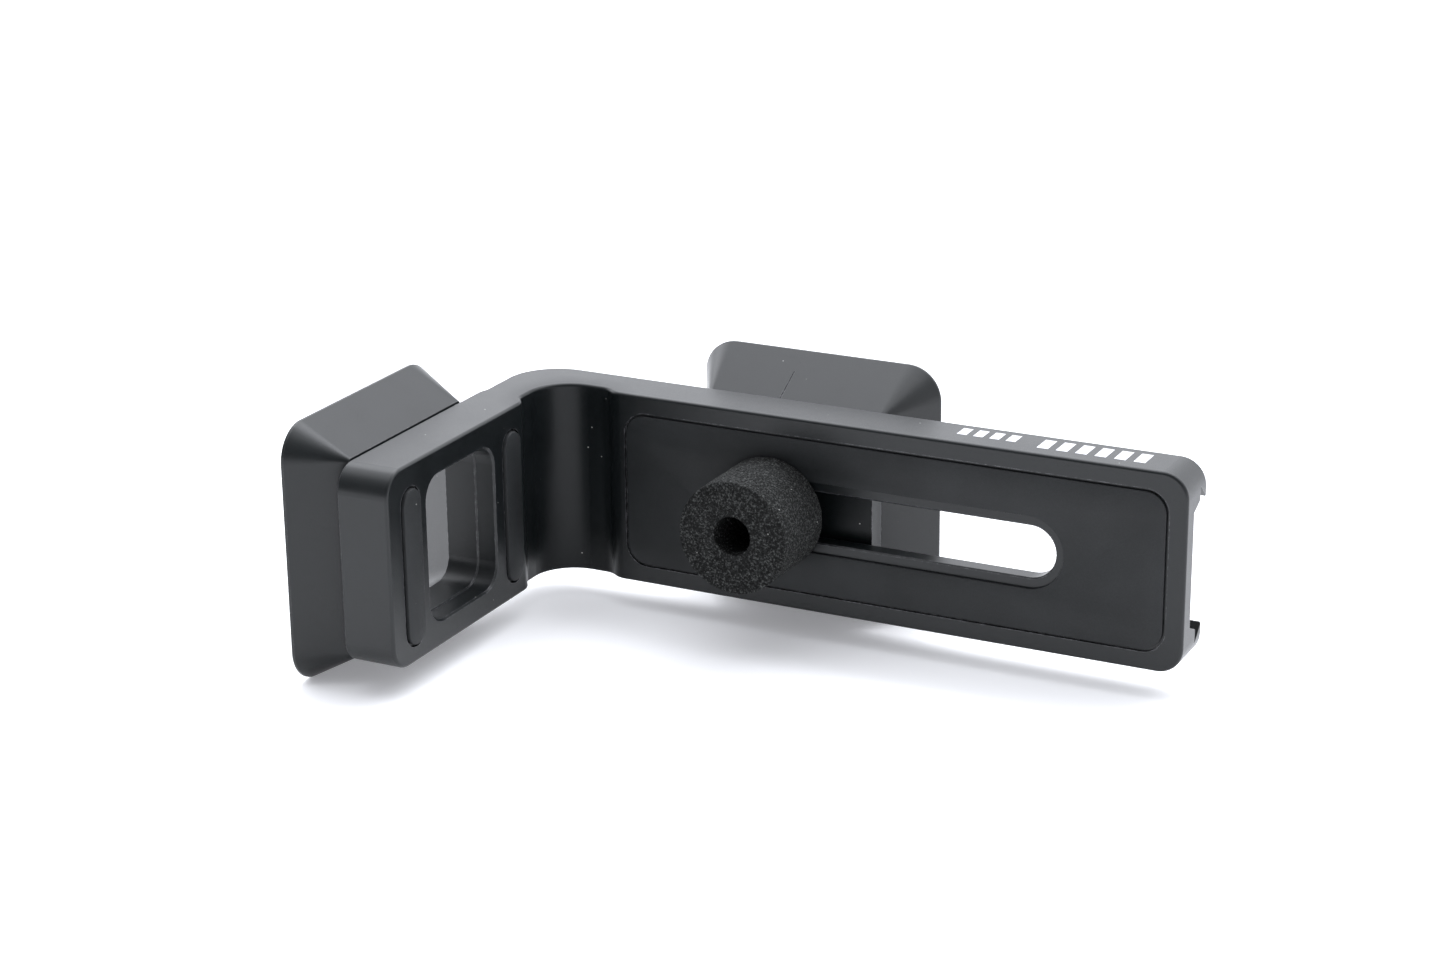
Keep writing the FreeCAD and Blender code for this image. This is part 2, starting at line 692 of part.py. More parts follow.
def d_ring():
    """Bent wire ring: two ends in the head's cross hole and a loop round the head."""
    stub = 4.5
    bend = V(BASE_X, HEAD_AXIS_Y, 0)
    corner = RING_R - RING_DROP
    half = RING_DROP * math.sqrt(0.5)
    right = [
        line(bend + V(stub, 0, 0), bend + V(corner, 0, 0)),
        arc(
            bend + V(corner, 0, 0),
            bend + V(corner + half, 0, half - RING_DROP),
            bend + V(RING_R, 0, -RING_DROP),
        ),
    ]
    loop = arc(
        bend + V(RING_R, 0, -RING_DROP),
        bend + V(0, 0, -RING_DROP - RING_R),
        bend + V(-RING_R, 0, -RING_DROP),
    )
    left = [
        arc(
            bend + V(-RING_R, 0, -RING_DROP),
            bend + V(-corner - half, 0, half - RING_DROP),
            bend + V(-corner, 0, 0),
        ),
        line(bend + V(-corner, 0, 0), bend + V(-stub, 0, 0)),
    ]
    path = Part.Wire(right + [loop] + left)
    circle = Part.makeCircle(RING_WIRE_R, bend + V(stub, 0, 0), X_AXIS)
    return path.makePipeShell([Part.Wire([circle])], True, True)


def foam_cap():
    """Foam cylinder pushed over the end of the camera screw."""
    front, back = FOAM_Y
    cap = ring(FOAM_R, FOAM_BORE_R, on_axis(front), on_axis(back))
    return cap.cut(rod(FOAM_MOUTH_R, on_axis(front - 1.0), on_axis(FOAM_MOUTH_Y)))


# ---- write the parts ----------------------------------------------------------
def write(name, shape):
    """Move one node to the base frame and write it."""
    placed = shape.copy()
    placed.translate(ORIGIN)
    if not placed.isValid() or not all(solid.isClosed() for solid in placed.Solids):
        raise ValueError(name + " is not a closed solid")
    placed.exportStep(os.path.join("parts", name + ".step"))
    bounds = placed.BoundBox
    size = (bounds.XLength, bounds.YLength, bounds.ZLength)
    print(name, len(placed.Solids), "solid(s)", "%.2f x %.2f x %.2f" % size)


def main():
    os.makedirs("parts", exist_ok=True)
    end_strip, bend_strip = STRIP_Y
    write("bracket_frame", bracket_frame())
    write("base_pad", base_pad())
    write("base_pad_tape", base_pad_tape())
    write("side_pad_end", side_pad(end_strip))
    write("side_pad_end_tape", side_pad_tape(end_strip))
    write("side_pad_bend", side_pad(bend_strip))
    write("side_pad_bend_tape", side_pad_tape(bend_strip))
    write("side_shoe", side_shoe())
    write("side_shoe_screws", side_shoe_screws())
    write("side_shoe_dowels", side_shoe_dowels())
    write("base_shoe", base_shoe())
    write("rail_slider", rail_slider())
    write("slider_screws", slider_screws())
    write("screw_washer", screw_washer())
    write("spring_washer", spring_washer())
    write("camera_screw", camera_screw())
    write("retaining_clip", retaining_clip())
    write("d_ring", d_ring())
    write("foam_cap", foam_cap())


main()
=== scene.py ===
import json
import math

import bmesh
import bpy
from mathutils import Matrix, Vector, noise
from mathutils.geometry import tessellate_polygon


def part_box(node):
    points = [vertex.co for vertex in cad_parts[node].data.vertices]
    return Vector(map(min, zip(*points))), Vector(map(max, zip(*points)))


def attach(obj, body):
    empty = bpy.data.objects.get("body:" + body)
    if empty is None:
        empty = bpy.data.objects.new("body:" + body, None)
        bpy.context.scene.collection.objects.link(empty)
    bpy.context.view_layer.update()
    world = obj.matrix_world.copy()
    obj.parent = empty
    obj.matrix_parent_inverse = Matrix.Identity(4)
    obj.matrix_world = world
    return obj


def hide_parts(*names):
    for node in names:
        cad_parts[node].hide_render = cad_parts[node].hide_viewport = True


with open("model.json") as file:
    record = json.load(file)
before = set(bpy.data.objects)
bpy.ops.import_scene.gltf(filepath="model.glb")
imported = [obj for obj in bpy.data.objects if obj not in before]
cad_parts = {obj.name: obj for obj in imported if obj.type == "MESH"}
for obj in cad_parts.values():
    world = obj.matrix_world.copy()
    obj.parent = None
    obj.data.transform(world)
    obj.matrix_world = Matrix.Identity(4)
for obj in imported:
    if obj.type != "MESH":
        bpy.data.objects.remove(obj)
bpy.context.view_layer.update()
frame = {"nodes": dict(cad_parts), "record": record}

MM = 0.001
NODES = frame["nodes"]
SCENE = bpy.context.scene


# ---- camera -------------------------------------------------------------------
def make_camera():
    """Long lens from the front right, above the part, tilted down at it."""
    data = bpy.data.cameras.new("camera")
    data.sensor_width = 36.0
    data.lens = 78.58
    data.clip_start = 0.01
    camera = bpy.data.objects.new("camera", data)
    right = Vector((0.8927, 0.4504, -0.0105)).normalized()
    up = Vector((-0.1400, 0.2995, 0.9437)).normalized()
    back = right.cross(up).normalized()
    up = back.cross(right)
    turn = Matrix((right, up, back)).transposed().to_4x4()
    camera.matrix_world = Matrix.Translation(Vector((239.6, -484.93, 227.5)) * MM) @ turn
    SCENE.collection.objects.link(camera)
    SCENE.camera = camera


make_camera()


# ---- helpers ------------------------------------------------------------------
def add_mesh(name, points, faces, smooth=True):
    """New mesh object from points and faces, in metres."""
    mesh = bpy.data.meshes.new(name)
    mesh.from_pydata(points, [], faces)
    mesh.validate()
    if smooth:
        mesh.shade_smooth()
    thing = bpy.data.objects.new(name, mesh)
    SCENE.collection.objects.link(thing)
    return thing


class Nodes:
    """Short way to build a material's nodes."""

    def __init__(self, name):
        self.material = bpy.data.materials.new(name)
        self.material.use_nodes = True
        self.tree = self.material.node_tree
        self.tree.nodes.clear()
        self.shader = self.new("ShaderNodeBsdfPrincipled")
        output = self.new("ShaderNodeOutputMaterial")
        self.link(self.shader.outputs[0], output.inputs["Surface"])
        self.place = self.new("ShaderNodeTexCoord").outputs["Object"]

    def new(self, kind, **values):
        node = self.tree.nodes.new(kind)
        for key, value in values.items():
            setattr(node, key, value)
        return node

    def link(self, source, target):
        self.tree.links.new(source, target)

    def noise(self, size_mm, detail=2.0, roughness=0.5, stretch=None):
        """Noise whose lumps are about size_mm wide."""
        node = self.new("ShaderNodeTexNoise")
        node.inputs["Scale"].default_value = 1000.0 / size_mm
        node.inputs["Detail"].default_value = detail
        node.inputs["Roughness"].default_value = roughness
        self.link(self.stretched(stretch), node.inputs["Vector"])
        return node.outputs[0]

    def cells(self, size_mm, feature="F1", output="Distance"):
        node = self.new("ShaderNodeTexVoronoi", feature=feature)
        node.inputs["Scale"].default_value = 1000.0 / size_mm
        self.link(self.place, node.inputs["Vector"])
        return node.outputs[output]

    def stretched(self, stretch):
        if stretch is None:
            return self.place
        node = self.new("ShaderNodeMapping")
        node.inputs["Scale"].default_value = stretch
        self.link(self.place, node.inputs["Vector"])
        return node.outputs[0]

    def span(self, source, low, high, to_low, to_high):
        """Value moved from one range to another and kept inside it."""
        node = self.new("ShaderNodeMapRange")
        self.link(source, node.inputs["Value"])
        names = ("From Min", "From Max", "To Min", "To Max")
        for key, value in zip(names, (low, high, to_low, to_high)):
            node.inputs[key].default_value = value
        return node.outputs["Result"]

    def math(self, kind, first, second):
        node = self.new("ShaderNodeMath", operation=kind)
        for socket, value in zip(node.inputs, (first, second)):
            if isinstance(value, (int, float)):
                socket.default_value = value
            else:
                self.link(value, socket)
        return node.outputs[0]

    def ramp(self, source, stops):
        """Colours along a value; stops are (place, colour)."""
        node = self.new("ShaderNodeValToRGB")
        while len(node.color_ramp.elements) < len(stops):
            node.color_ramp.elements.new(0.5)
        for element, (place, colour) in zip(node.color_ramp.elements, stops):
            element.position = place
            element.color = (*colour, 1.0)
        self.link(source, node.inputs["Fac"])
        return node.outputs["Color"]

    def mix(self, factor, first, second):
        """Colour mixed from two; a colour can be a tuple or a socket."""
        node = self.new("ShaderNodeMix", data_type="RGBA")
        self.link(factor, node.inputs[0])
        for socket, value in ((node.inputs[6], first), (node.inputs[7], second)):
            if isinstance(value, tuple):
                socket.default_value = (*value, 1.0)
            else:
                self.link(value, socket)
        return node.outputs[2]

    def edges(self, radius_mm, low, high):
        """1 along sharp edges, falling to 0 on flats."""
        bevel = self.new("ShaderNodeBevel", samples=6)
        bevel.inputs["Radius"].default_value = radius_mm * MM
        straight = self.new("ShaderNodeNewGeometry").outputs["Normal"]
        dot = self.new("ShaderNodeVectorMath", operation="DOT_PRODUCT")
        self.link(bevel.outputs[0], dot.inputs[0])
        self.link(straight, dot.inputs[1])
        return self.span(dot.outputs["Value"], high, low, 0.0, 1.0)

    def from_line(self, x_mm, y_mm):
        """Distance in metres from an upright line."""
        flat = self.new("ShaderNodeVectorMath", operation="MULTIPLY")
        self.link(self.place, flat.inputs[0])
        flat.inputs[1].default_value = (1.0, 1.0, 0.0)
        gap = self.new("ShaderNodeVectorMath", operation="DISTANCE")
        self.link(flat.outputs[0], gap.inputs[0])
        gap.inputs[1].default_value = (x_mm * MM, y_mm * MM, 0.0)
        return gap.outputs["Value"]

    def bump(self, height, depth_mm):
        node = self.new("ShaderNodeBump")
        node.inputs["Strength"].default_value = 1.0
        node.inputs["Distance"].default_value = depth_mm * MM
        self.link(height, node.inputs["Height"])
        return node.outputs[0]

    def set(self, **values):
        """Sockets of the shader: a number or colour stays on the socket."""
        for key, value in values.items():
            socket = self.shader.inputs[key.replace("_", " ")]
            if isinstance(value, bpy.types.NodeSocket):
                self.link(value, socket)
            elif isinstance(value, tuple):
                socket.default_value = (*value, 1.0)
            else:
                socket.default_value = value
        return self


# ---- materials ----------------------------------------------------------------
BEND_AXIS = (-47.0, 12.8)       # upright axis of the scooped corner, X and Y in mm


def dust(nodes, spacing_mm, size, below, share=0.27):
    """Sparse pale dust specks over a colour."""
    near = nodes.cells(spacing_mm)
    pick = nodes.cells(spacing_mm, output="Color")
    chosen = nodes.span(pick, 1.0 - share, 1.02 - share, 0.0, 1.0)
    spot = nodes.span(near, size, size * 0.55, 0.0, 1.0)
    amount = nodes.math("MULTIPLY", chosen, spot)
    return nodes.mix(amount, below, (0.42, 0.42, 0.40))


def anodised(name, shine):
    """Black anodised aluminium over a fine bead-blasted surface; sharp edges are pale, partly real
    edge wear and partly a painted highlight, and reflection is weaker in the bend as painted shade.
    """
    nodes = Nodes(name)
    grain = nodes.noise(0.16, detail=3.0, roughness=0.65)
    cloud = nodes.noise(9.0, detail=2.0)
    edge_wear_and_highlight = nodes.edges(0.3, 0.88, 0.996)
    patchy = nodes.span(nodes.noise(1.3, detail=4.0, roughness=0.7), 0.44, 0.66, 0.08, 1.0)
    base = nodes.ramp(cloud, [(0.3, (0.0042, 0.0054, 0.0060)), (0.7, (0.0062, 0.0078, 0.0086))])
    # Pale sharp edges broken into patches: partly edge wear, partly a painted highlight along the
    # rounded rims.
    worn_and_highlit = nodes.mix(nodes.math("MULTIPLY", edge_wear_and_highlight, patchy), base, (0.16, 0.16, 0.17))
    fine = nodes.span(grain, 0.3, 0.7, 0.28, 0.38)
    rough = nodes.math("ADD", fine, nodes.span(cloud, 0.3, 0.7, -0.02, 0.02))
    # Painted shade: reflection is cut to 0.6 of its level out to 9.2 mm from the bend's upright axis
    # and is back to full by 13.5 mm, darkening the scooped corner.
    bend = nodes.from_line(*BEND_AXIS)
    nodes.set(
        Base_Color=dust(nodes, 3.0, 0.055, worn_and_highlit, 0.3),
        Roughness=rough,
        Specular_IOR_Level=nodes.span(bend, 0.0092, 0.0135, 0.6 * shine, shine),
        IOR=1.43,
        Normal=nodes.bump(grain, 0.010),
    )
    return nodes.material


def rubber():
    """Matt moulded rubber with a fine texture."""
    nodes = Nodes("pad_rubber")
    grain = nodes.noise(0.22, detail=4.0, roughness=0.7)
    cloud = nodes.noise(14.0)
    mottle = nodes.math("ADD", nodes.math("MULTIPLY", cloud, 0.4), nodes.math("MULTIPLY", grain, 0.6))
    dark = (0.0050, 0.0060, 0.0066)
    pale = (0.0150, 0.0167, 0.0180)
    base = nodes.ramp(mottle, [(0.38, dark), (0.62, pale)])
    nodes.set(
        Base_Color=dust(nodes, 2.6, 0.06, base, 0.55),
        Roughness=nodes.span(grain, 0.3, 0.7, 0.50, 0.66),
        IOR=1.42,
        Normal=nodes.bump(grain, 0.02),
    )
    return nodes.material


def foam():
    """Cut surface of black closed-cell foam."""
    nodes = Nodes("foam")
    walls = nodes.cells(0.34, feature="DISTANCE_TO_EDGE")
    tone = nodes.noise(0.38, detail=3.0, roughness=0.7)
    base = nodes.ramp(
        tone,
        [
            (0.41, (0.0013, 0.0015, 0.0014)),
            (0.52, (0.0060, 0.0066, 0.0063)),
            (0.66, (0.075, 0.079, 0.076)),
        ],
    )
    height = nodes.math("ADD", nodes.span(walls, 0.0, 0.3, 1.0, 0.0), nodes.cells(0.2))
    nodes.set(
        Base_Color=dust(nodes, 2.4, 0.07, base, 0.3),
        Roughness=nodes.span(tone, 0.3, 0.7, 0.95, 0.75),
        IOR=1.35,
        Normal=nodes.bump(height, 0.07),
    )
    return nodes.material


def foam_skin():
    """Closed dark skin inside the foam's bore."""
    nodes = Nodes("foam_skin")
    grain = nodes.noise(0.5, detail=3.0)
    base = nodes.ramp(grain, [(0.3, (0.0020, 0.0022, 0.0022)), (0.7, (0.0045, 0.0050, 0.0048))])
    nodes.set(Base_Color=base, Roughness=0.95, IOR=1.25, Normal=nodes.bump(grain, 0.03))
    return nodes.material


def film():
    """Matt black adhesive film."""
    nodes = Nodes("adhesive_film")
    grain = nodes.noise(0.4, detail=3.0)
    base = nodes.ramp(grain, [(0.3, (0.02, 0.02, 0.02)), (0.7, (0.035, 0.035, 0.035))])
    nodes.set(Base_Color=base, Roughness=0.7, Normal=nodes.bump(grain, 0.01))
    return nodes.material


def black_oxide():
    """Oiled black oxide steel."""
    nodes = Nodes("black_steel")
    grain = nodes.noise(0.12, detail=3.0)
    edge_wear_and_highlight = nodes.edges(0.1, 0.9, 0.995)
    base = nodes.mix(edge_wear_and_highlight, (0.035, 0.036, 0.04), (0.25, 0.25, 0.26))
    nodes.set(
        Base_Color=base,
        Metallic=0.8,
        Roughness=nodes.span(grain, 0.3, 0.7, 0.28, 0.42),
        Normal=nodes.bump(grain, 0.006),
    )
    return nodes.material


def stainless():
    """Turned stainless steel: fine rings round the screw's axis."""
    nodes = Nodes("stainless_steel")
    lines = nodes.noise(0.6, detail=4.0, roughness=0.7, stretch=(0.15, 6.0, 0.15))
    grain = nodes.noise(0.2, detail=2.0)
    edge_wear_and_highlight = nodes.edges(0.1, 0.9, 0.995)
    steel = nodes.ramp(lines, [(0.3, (0.27, 0.27, 0.28)), (0.7, (0.40, 0.40, 0.41))])
    nodes.set(
        Base_Color=nodes.mix(edge_wear_and_highlight, steel, (0.55, 0.55, 0.56)),
        Metallic=1.0,
        Roughness=nodes.span(grain, 0.3, 0.7, 0.2, 0.34),
        Normal=nodes.bump(lines, 0.006),
    )
    return nodes.material


def ink():
    """Pale grey printing ink, slightly uneven."""
    nodes = Nodes("pale_ink")
    grain = nodes.noise(0.15, detail=3.0)
    base = nodes.ramp(grain, [(0.3, (0.55, 0.55, 0.58)), (0.7, (0.68, 0.68, 0.71))])
    nodes.set(Base_Color=base, Roughness=0.5, Normal=nodes.bump(grain, 0.008))
    return nodes.material


MATERIALS = {
    "black_anodised": anodised("black_anodised", 0.5),
    "dull_anodised": anodised("dull_anodised", 0.26),
    "pad_rubber": rubber(),
    "foam": foam(),
    "foam_skin": foam_skin(),
    "adhesive_film": film(),
    "black_steel": black_oxide(),
    "stainless_steel": stainless(),
    "pale_ink": ink(),
}


def paint(thing, name):
    thing.data.materials.clear()
    thing.data.materials.append(MATERIALS[name])


def paint_cad_nodes():
    """Every CAD node takes the material of its slot in the record."""
    for part in frame["record"]["subparts"]:
        paint(NODES[part["node"]], part["material_slot"])
    paint(NODES["rail_slider"], "dull_anodised")


paint_cad_nodes()


# ---- foam cap -----------------------------------------------------------------
FOAM_BORE = 3.25 * MM           # radius round the screw
FOAM_MOUTH = 3.65 * MM          # radius of the wider hole in front of the screw
FOAM_MOUTH_DEPTH = 10.6 * MM
FOAM_MOUTH_RISE = 0.45 * MM     # the front hole's centre, above the cap's axis
FOAM_SKIN = 3.75 * MM           # faces nearer the axis than this have the skin material
FOAM_CORNER = 0.15 * MM
FOAM_PITCH = 0.2 * MM           # spacing of the mesh's rings


def lathe_y(profile, centre, segments):
    """Points and faces of a closed profile turned about a line along Y.

    The profile is a list of (radius, y) that runs round the section.
    """
    points = []
    faces = []
    rows = len(profile)
    for radius, y in profile:
        for step in range(segments):
            angle = 2.0 * math.pi * step / segments
            across = radius * math.cos(angle)
            up = radius * math.sin(angle)
            points.append((centre.x + across, y, centre.z + up))
    for row in range(rows):
        after = (row + 1) % rows
        for step in range(segments):
            beside = (step + 1) % segments
            faces.append(
                (
                    row * segments + step,
                    after * segments + step,
                    after * segments + beside,
                    row * segments + beside,
                )
            )
    return points, faces


def steps_between(start, end, pitch):
    """Evenly spaced (radius, y) pairs from start up to, not including, end."""
    length = math.dist(start, end)
    count = max(1, round(length / pitch))
    return [
        (start[0] + (end[0] - start[0]) * i / count, start[1] + (end[1] - start[1]) * i / count)
        for i in range(count)
    ]


def foam_cap():
    """Foam cylinder with cells open all over its cut surface."""
    low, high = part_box("foam_cap")
    centre = (low + high) / 2
    outer = (high.x - low.x) / 2
    front, back = low.y, high.y
    step_y = front + FOAM_MOUTH_DEPTH
    rim = FOAM_MOUTH + FOAM_CORNER
    corners = [
        (FOAM_BORE, back),
        (FOAM_BORE, step_y),
        (FOAM_MOUTH, step_y),
        (FOAM_MOUTH, front + FOAM_CORNER),
        (rim, front),
        (outer - FOAM_CORNER, front),
        (outer, front + FOAM_CORNER),
        (outer, back - FOAM_CORNER),
        (outer - FOAM_CORNER, back),
    ]
    profile = []
    for start, end in zip(corners, corners[1:] + corners[:1]):
        profile += steps_between(start, end, FOAM_PITCH)
    points, faces = lathe_y(profile, centre, 340)
    cap = add_mesh("foam_cap_cells", points, faces)
    for vertex in cap.data.vertices:
        if vertex.co.y < step_y - 0.1 * MM:
            away = math.hypot(vertex.co.x - centre.x, vertex.co.z - centre.z)
            share = (outer - away) / (outer - rim)
            vertex.co.z += FOAM_MOUTH_RISE * min(1.0, max(0.0, share))
    normals = [vertex.normal.copy() for vertex in cap.data.vertices]
    for vertex, normal in zip(cap.data.vertices, normals):
        place = vertex.co * 1000.0
        near = noise.voronoi(place * 1.25)[0]
        cell = min(1.0, (near[1] - near[0]) * 2.2)
        lump = noise.noise(place * 0.35)
        vertex.co -= normal * MM * (0.04 + 0.15 * cell + 0.05 * lump)
    paint(cap, "foam")
    cap.data.materials.append(MATERIALS["foam_skin"])
    for face in cap.data.polygons:
        away = face.center - centre
        face.material_index = int(math.hypot(away.x, away.z - FOAM_MOUTH_RISE) < FOAM_SKIN)
    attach(cap, "foam_cap")
    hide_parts("foam_cap")


foam_cap()


# ---- rubber pads --------------------------------------------------------------
def rounded(low_u, high_u, low_z, high_z, radius, grow):
    """Points round a rectangle with round corners, grown by a small amount."""
    points = []
    reach = radius + grow
    centres = (
        (high_u - radius, high_z - radius),
        (low_u + radius, high_z - radius),
        (low_u + radius, low_z + radius),
        (high_u - radius, low_z + radius),
    )
    for quarter, (u, z) in enumerate(centres):
        for step in range(17):
            angle = math.radians(90.0 * quarter + 90.0 * step / 16)
            points.append((u + reach * math.cos(angle), z + reach * math.sin(angle)))
    return points


def rubber_slab(name, place, outer, hole, thick, rim):
    """Slab with a rounded rim; place turns (u, z, depth) into a point.

    outer and hole are (low u, high u, low z, high z, radius); hole can be None.
    """
    levels = ((0.0, thick), (0.0, rim), (0.3 * rim, 0.3 * rim), (rim, 0.0))
    points = []
    faces = []
    ends = []
    for shape, sign in ((outer, -1.0), (hole, 1.0)):
        if shape is None:
            continue
        loops = []
        for inset, depth in levels:
            start = len(points)
            for u, z in rounded(*shape, sign * inset):
                points.append(place(u, z, depth))
            loops.append(range(start, len(points)))
        for first, second in zip(loops, loops[1:]):
            for i in range(len(first)):
                j = (i + 1) % len(first)
                faces.append((first[i], first[j], second[j], second[i]))
        ends.append((loops[0], loops[-1]))
    for side in (0, 1):
        rings = [end[side] for end in ends]
        flat = [index for ring in rings for index in ring]
        outlines = [[Vector(points[index]) for index in ring] for ring in rings]
        faces += [tuple(flat[i] for i in triangle) for triangle in tessellate_polygon(outlines)]
    slab = add_mesh(name, points, faces)
    tidy_normals(slab, 40.0)
    return slab


def tidy_normals(thing, angle):
    """Faces all point outwards; edges sharper than the angle stay crisp."""
    work = bmesh.new()
    work.from_mesh(thing.data)
    bmesh.ops.remove_doubles(work, verts=work.verts, dist=1e-7)
    bmesh.ops.recalc_face_normals(work, faces=work.faces)
    work.to_mesh(thing.data)
    work.free()
    thing.data.shade_smooth()
    thing.data.set_sharp_from_angle(angle=math.radians(angle))


def finish_pad(slab, node):
    paint(slab, "pad_rubber")
    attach(slab, "bracket")
    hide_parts(node)


def rubber_pads():
    """Long arm's pad round the slot and the short arm's two strips."""
    low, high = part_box("base_pad")
    middle = (low.z + high.z) / 2
    hole = (
        low.x + 19.8 * MM,
        high.x - 19.2 * MM,
        middle - 7.05 * MM,
        middle + 7.05 * MM,
        7.049 * MM,
    )
    outer = (low.x, high.x, low.z, high.z, 4.0 * MM)
    slab = rubber_slab(
        "base_pad_rubber",
        lambda u, z, depth: (u, low.y + depth, z),
        outer,
        hole,
        high.y - low.y,
        0.16 * MM,
    )
    finish_pad(slab, "base_pad")
    for node in ("side_pad_end", "side_pad_bend"):
        low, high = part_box(node)
        half = (high.y - low.y) / 2
        strip = rubber_slab(
            node + "_rubber",
            lambda u, z, depth: (high.x - depth, u, z),
            (low.y, high.y, low.z, high.z, half - 1e-6),
            None,
            high.x - low.x,
            0.28 * MM,
        )
        finish_pad(strip, node)


rubber_pads()


# ---- camera screw -------------------------------------------------------------
def turned(name, rows, centre, segments):
    """Closed mesh turned about a line along Y; rows are (y, radius of angle)."""
    points = []
    faces = []
    for y, radius in rows:
        for step in range(segments):
            angle = 2.0 * math.pi * step / segments
            r = radius(angle)
            points.append((centre.x + r * math.cos(angle), y, centre.z + r * math.sin(angle)))
    for row in range(len(rows) - 1):
        for step in range(segments):
            beside = (step + 1) % segments
            a = row * segments
            b = a + segments
            faces.append((a + step, a + beside, b + beside, b + step))
    faces.append(tuple(range(segments)))
    faces.append(tuple(range(len(points) - segments, len(points))))
    thing = add_mesh(name, points, faces)
    tidy_normals(thing, 35.0)
    return thing


def block(name, low, high):
    """Plain box between two corners."""
    work = bmesh.new()
    bmesh.ops.create_cube(work, size=1.0)
    for vertex in work.verts:
        for axis in range(3):
            vertex.co[axis] = high[axis] if vertex.co[axis] > 0 else low[axis]
    mesh = bpy.data.meshes.new(name)
    work.to_mesh(mesh)
    work.free()
    thing = bpy.data.objects.new(name, mesh)
    SCENE.collection.objects.link(thing)
    return thing


def cut_away(thing, cutters):
    """The cutters' shapes taken out of a thing's mesh for good."""
    for cutter in cutters:
        modifier = thing.modifiers.new(cutter.name, "BOOLEAN")
        modifier.operation = "DIFFERENCE"
        modifier.solver = "EXACT"
        modifier.object = cutter
    bpy.context.view_layer.update()
    graph = bpy.context.evaluated_depsgraph_get()
    cut = bpy.data.meshes.new_from_object(thing.evaluated_get(graph))
    thing.modifiers.clear()
    thing.data = cut
    for cutter in cutters:
        bpy.data.objects.remove(cutter)
    tidy_normals(thing, 35.0)


def thread_radius(y, angle):
    """Quarter-inch thread, 20 turns to the inch, at a height above the tip in mm."""
    pitch = 25.4 / 20.0
    phase = (y / pitch - angle / (2.0 * math.pi)) % 1.0
    depth = min(1.0, max(0.0, (abs(phase - 0.5) * 2.0 - 0.14) / 0.72))
    lead = min(1.0, max(0.0, (6.1 - y) / 0.5))
    return min(3.17 - 0.62 * depth * lead, 2.62 + 1.2 * y) * MM


def camera_screw():
    """Threaded tip, clip groove, plain shank and a knurled head with a coin slot."""
    low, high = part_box("camera_screw")
    centre = (low + high) / 2
    tip = low.y

    def plain(radius):
        return lambda angle: radius * MM

    rows = []
    for step in range(58):
        y = 6.15 * step / 57
        rows.append((tip + y * MM, lambda angle, y=y: thread_radius(y, angle)))
    shank = ((6.18, 3.17), (6.2, 2.6), (6.8, 2.6), (6.82, 3.17), (21.9, 3.17), (22.0, 3.3))
    rows += [(tip + y * MM, plain(radius)) for y, radius in shank]
    rows += [(tip + 22.02 * MM, plain(6.9)), (tip + 22.35 * MM, plain(7.3))]

    def knurl(angle):
        return (7.46 - 0.22 * abs(math.sin(36.0 * angle))) * MM

    rows += [(tip + 22.5 * MM, knurl), (tip + 25.2 * MM, knurl)]
    crown = ((25.35, 7.3), (25.6, 7.25), (26.18, 6.8))
    rows += [(tip + y * MM, plain(radius)) for y, radius in crown]
    screw = turned("camera_screw_turned", rows, centre, 288)
    reach = 9.0 * MM
    slot = block(
        "coin_slot",
        (centre.x - reach, tip + 25.3 * MM, centre.z - 0.8 * MM),
        (centre.x + reach, tip + 28.0 * MM, centre.z + 0.8 * MM),
    )
    cross = turned(
        "cross_hole",
        [(-reach, plain(1.0)), (reach, plain(1.0))],
        Vector((0.0, 0.0, 0.0)),
        40,
    )
    quarter = Matrix.Rotation(math.radians(90.0), 4, "Z")
    cross.data.transform(Matrix.Translation((centre.x, tip + 24.1 * MM, centre.z)) @ quarter)
    cut_away(screw, [slot, cross])
    paint(screw, "stainless_steel")
    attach(screw, "camera_screw")
    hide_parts("camera_screw")


camera_screw()


# ---- printed marks ------------------------------------------------------------
def printed_marks():
    """Plain printed bars on the top edge, near the free end."""
    low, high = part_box("bracket_frame")
    top = high.z
    back = high.y - 2.0 * MM
    bars = [(9.4 + 3.7 * i, 2.2, 4.8) for i in range(6)]
    bars += [(34.7 + 3.2 * i, 1.9, 3.6) for i in range(4)]
    sides = ((3, 2, 1, 0), (4, 5, 6, 7), (0, 1, 5, 4), (1, 2, 6, 5), (2, 3, 7, 6), (3, 0, 4, 7))
    points = []
    faces = []
    for start, width, height in bars:
        left = high.x - (start + width) * MM
        base = len(points)
        for z in (top + 0.005 * MM, top + 0.02 * MM):
            for x, y in ((0, 0), (width, 0), (width, height), (0, height)):
                points.append((left + x * MM, back - y * MM, z))
        faces += [tuple(base + corner for corner in side) for side in sides]
    marks = add_mesh("printed_marks", points, faces, smooth=False)
    paint(marks, "pale_ink")
    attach(marks, "bracket")


printed_marks()


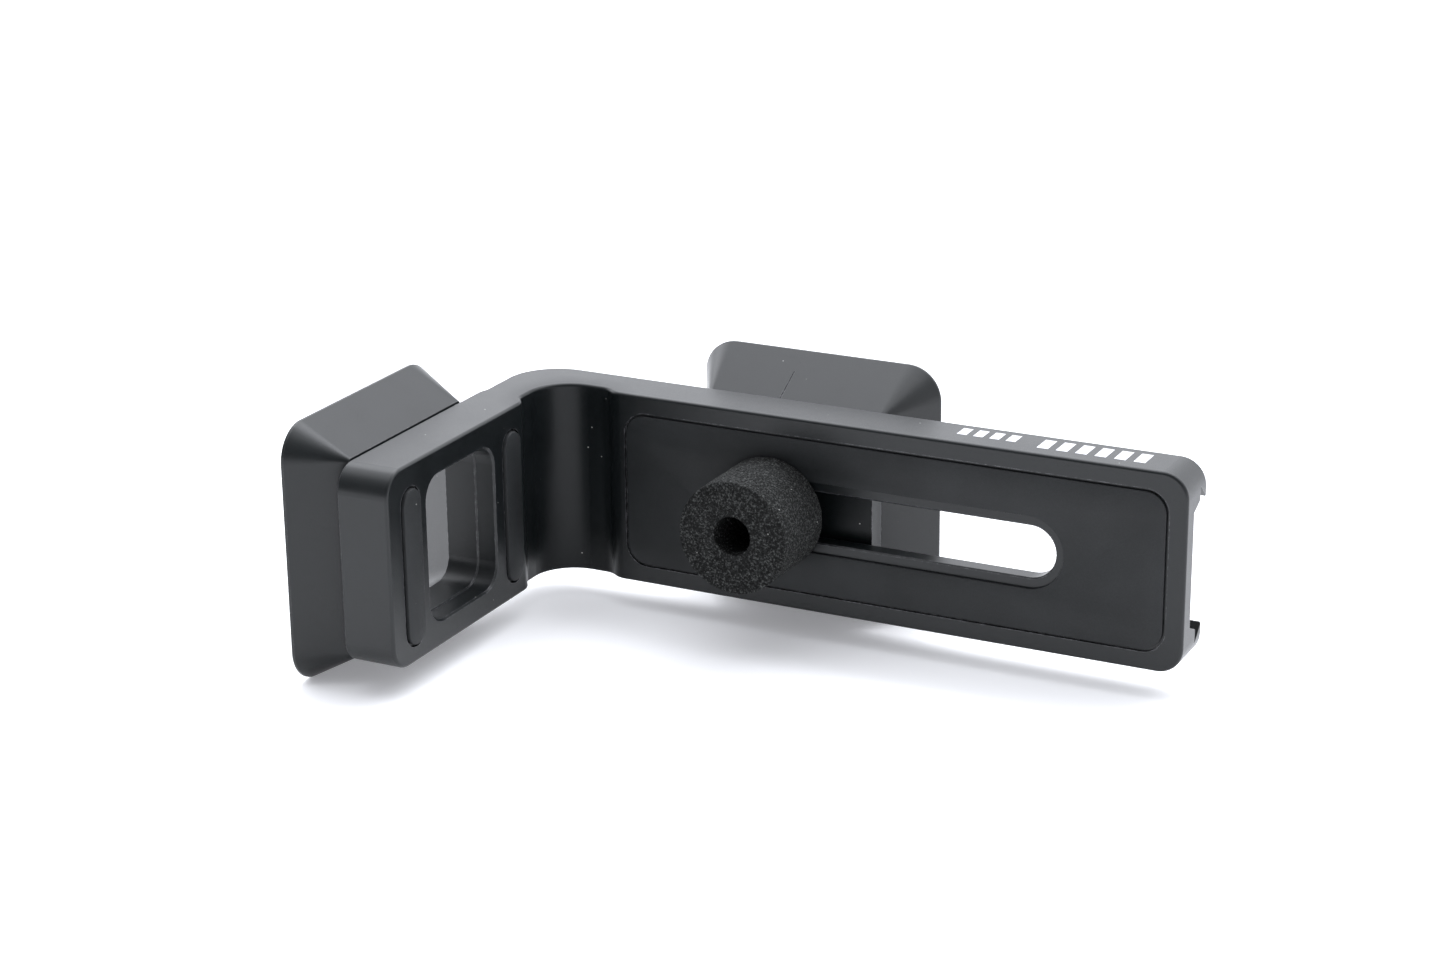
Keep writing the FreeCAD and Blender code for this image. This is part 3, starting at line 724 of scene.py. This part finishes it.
# ---- floor and light ----------------------------------------------------------
def floor():
    """Plain pale floor that fills the view."""
    half = 4.0
    points = [(-half, -half, 0), (half, -half, 0), (half, half, 0), (-half, half, 0)]
    ground = add_mesh("floor", points, [(0, 1, 2, 3)])
    nodes = Nodes("floor_white")
    soft = nodes.noise(60.0, detail=2.0)
    base = nodes.ramp(soft, [(0.3, (0.885, 0.885, 0.89)), (0.7, (0.90, 0.90, 0.905))])
    nodes.set(
        Base_Color=base,
        Roughness=0.9,
        Specular_IOR_Level=0.1,
        Emission_Color=(0.95, 0.955, 1.0),
        Emission_Strength=0.24,
    )
    ground.data.materials.append(nodes.material)


def softbox(name, place, aim, size, radiance, colour):
    """Rectangular soft light; radiance is its surface brightness."""
    data = bpy.data.lights.new(name, "AREA")
    data.shape = "RECTANGLE"
    data.size, data.size_y = size
    data.energy = radiance * math.pi * size[0] * size[1]
    data.color = colour
    lamp = bpy.data.objects.new(name, data)
    lamp.location = place
    lamp.rotation_euler = (Vector(aim) - Vector(place)).to_track_quat("-Z", "Y").to_euler()
    SCENE.collection.objects.link(lamp)


def sky():
    """White surroundings that fall off towards the camera's side."""
    world = bpy.data.worlds.new("studio")
    world.use_nodes = True
    tree = world.node_tree
    background = tree.nodes["Background"]
    place = tree.nodes.new("ShaderNodeTexCoord")
    split = tree.nodes.new("ShaderNodeSeparateXYZ")
    tree.links.new(place.outputs["Generated"], split.inputs[0])
    fade = tree.nodes.new("ShaderNodeMapRange")
    names = ("From Min", "From Max", "To Min", "To Max")
    for key, value in zip(names, (-0.75, 0.65, 0.27, 2.2)):
        fade.inputs[key].default_value = value
    tree.links.new(split.outputs["Y"], fade.inputs["Value"])
    background.inputs["Color"].default_value = (0.93, 0.95, 1.0, 1.0)
    tree.links.new(fade.outputs["Result"], background.inputs["Strength"])
    SCENE.world = world


def studio():
    """White surroundings with a large light above and a stronger one behind."""
    sky()
    SCENE.view_settings.view_transform = "Standard"
    cool = (0.93, 0.95, 1.0)
    softbox("left_light", (-1.3, 0.3, 0.8), (-0.1, 0.0, 0), (1.2, 0.8), 2.0, cool)
    softbox("top_light", (-0.1, 0.1, 1.2), (0, 0, 0), (1.6, 1.2), 1.35, cool)
    softbox("back_light", (0.1, 0.9, 1.7), (0, 0.1, 0), (3.0, 1.0), 3.2, cool)


floor()
studio()
